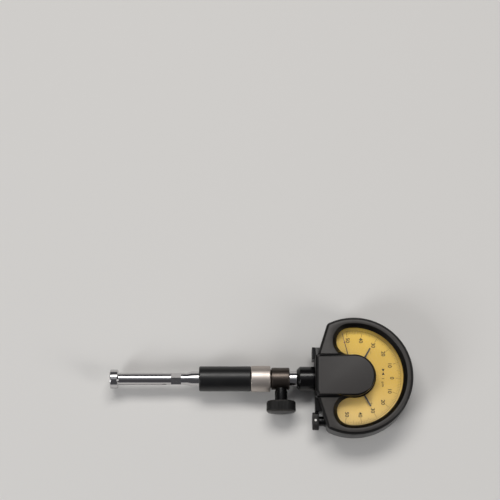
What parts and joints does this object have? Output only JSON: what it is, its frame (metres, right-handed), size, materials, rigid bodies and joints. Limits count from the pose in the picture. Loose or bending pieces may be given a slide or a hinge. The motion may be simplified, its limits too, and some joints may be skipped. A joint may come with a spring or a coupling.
{
  "type": "dial bore gauge",
  "caption": "Self-centring split-head bore gauge: chromed probe, grip, clamp head with knurled knob and a D-shaped dial comparator with tolerance markers.",
  "frame": {"origin": "centre of the comparator's flat back face, under the pointer's axis", "axes": "+X along the gauge from the measuring head towards the dial, +Z out of the dial face, +Y across"},
  "size_m": [0.1615, 0.0628, 0.024],
  "materials": {
    "case_paint": "satin",
    "cover_paint": "satin",
    "black_oxide": "satin",
    "steel": "satin",
    "chrome": "polished",
    "satin_chrome": "satin",
    "dark_chrome": "satin",
    "brass": "satin",
    "glass": "gloss",
    "dial_yellow": "matte",
    "black_plastic": "matte",
    "black_anodised": "satin",
    "pointer_black": "matte",
    "white_dot": "gloss"
  },
  "bodies": {
    "case": {"front_housing": "case_paint", "back_cover": "black_plastic", "back_screws": "black_oxide", "window_glass": "glass", "centre_cover": "cover_paint", "cover_screws": "steel", "lift_socket": "black_oxide", "lift_plug": "black_oxide", "mounting_stem": "chrome", "stem_collar": "black_oxide", "plunger_bushes": "brass", "plunger_spring": "steel", "movement_lower_plate": "brass", "movement_main_plate": "brass", "plate_pillars": "brass", "pillar_screws": "steel", "plate_screws": "steel", "jewel_bearings": "glass", "hairspring": "steel", "hairspring_stud": "brass", "dial_plate": "dial_yellow", "dial_posts": "brass", "dial_screws": "steel", "marker_hub": "brass", "marker_clip": "steel", "fine_adjust_bush": "brass"},
    "plunger": {"plunger": "steel", "contact_point": "steel"},
    "lever": {"sector_lever": "brass", "lever_pin": "steel", "lever_arbor": "steel"},
    "wheel": {"first_pinion": "steel", "segment_wheel": "brass"},
    "pointer": {"pointer_arbor": "steel", "hairspring_collet": "brass", "pointer": "pointer_black", "pointer_hub": "brass"},
    "marker_minus": {"marker_minus": "pointer_black"},
    "marker_plus": {"marker_plus": "pointer_black"},
    "fine_adjust": {"fine_adjust_knob": "black_anodised", "fine_adjust_screw": "steel", "index_pin": "white_dot"},
    "holder": {"clamp_head": "dark_chrome", "spacer_ring": "satin_chrome", "grip_sleeve": "black_plastic", "holder_tube": "steel", "rod_bush": "brass", "push_rod_spring": "steel", "measuring_head": "chrome"},
    "rod": {"push_rod": "steel", "measuring_needle": "steel"},
    "pressure": {"pressure_piece": "brass"},
    "clamp": {"clamp_screw": "steel", "clamp_knob": "black_anodised"}
  },
  "joints": [
    {"name": "pointer_turn", "type": "hinge", "parent": "case", "child": "pointer", "pos_m": [0, 0, 0.01], "axis": [0, 0, -1], "range_deg": [0, 215], "deforming": ["hairspring"]},
    {"name": "plunger_slide", "type": "slide", "parent": "case", "child": "plunger", "axis": [1, 0, 0], "range_m": [0, 0.0001072], "stiffness_N_per_m": 300, "springref_m": -0.003, "deforming": ["plunger_spring"]},
    {"name": "lever_swing", "type": "hinge", "parent": "case", "child": "lever", "pos_m": [-0.0145, -0.00301, 0.01], "axis": [0, 0, -1], "range_deg": [0, 2.1]},
    {"name": "wheel_turn", "type": "hinge", "parent": "case", "child": "wheel", "pos_m": [-0.00549, -0.01266, 0.01], "axis": [0, 0, 1], "range_deg": [0, 21]},
    {"name": "marker_minus_turn", "type": "hinge", "parent": "case", "child": "marker_minus", "pos_m": [0, 0, 0.01], "axis": [0, 0, 1], "range_deg": [-55, 40]},
    {"name": "marker_plus_turn", "type": "hinge", "parent": "case", "child": "marker_plus", "pos_m": [0, 0, 0.01], "axis": [0, 0, 1], "range_deg": [-40, 55]},
    {"name": "fine_adjust_turn", "type": "hinge", "parent": "case", "child": "fine_adjust", "pos_m": [-0.02045, -0.0229, 0.01], "axis": [1, 0, 0], "range_deg": [-540, 540]},
    {"name": "holder_swivel", "type": "hinge", "parent": "case", "child": "holder", "pos_m": [-0.0387, 0, 0.01], "axis": [1, 0, 0], "continuous": true},
    {"name": "rod_slide", "type": "slide", "parent": "holder", "child": "rod", "axis": [1, 0, 0], "range_m": [0, 0.00011], "deforming": ["push_rod_spring"]},
    {"name": "clamp_travel", "type": "slide", "parent": "holder", "child": "pressure", "axis": [0, -1, 0], "range_m": [0, 0.00101]},
    {"name": "clamp_turn", "type": "hinge", "parent": "pressure", "child": "clamp", "pos_m": [-0.0387, -0.015, 0.01], "axis": [0, -1, 0], "range_deg": [0, 720]}
  ],
  "couplings": [
    {"joint": "rod_slide", "follows": "plunger_slide", "ratio": 1},
    {"joint": "pointer_turn", "follows": "plunger_slide", "rad_per_m": 34907},
    {"joint": "lever_swing", "follows": "plunger_slide", "rad_per_m": 332.44},
    {"joint": "wheel_turn", "follows": "plunger_slide", "rad_per_m": 3324.4},
    {"joint": "clamp_travel", "follows": "clamp_turn", "m_per_rad": 0.000079577}
  ]
}
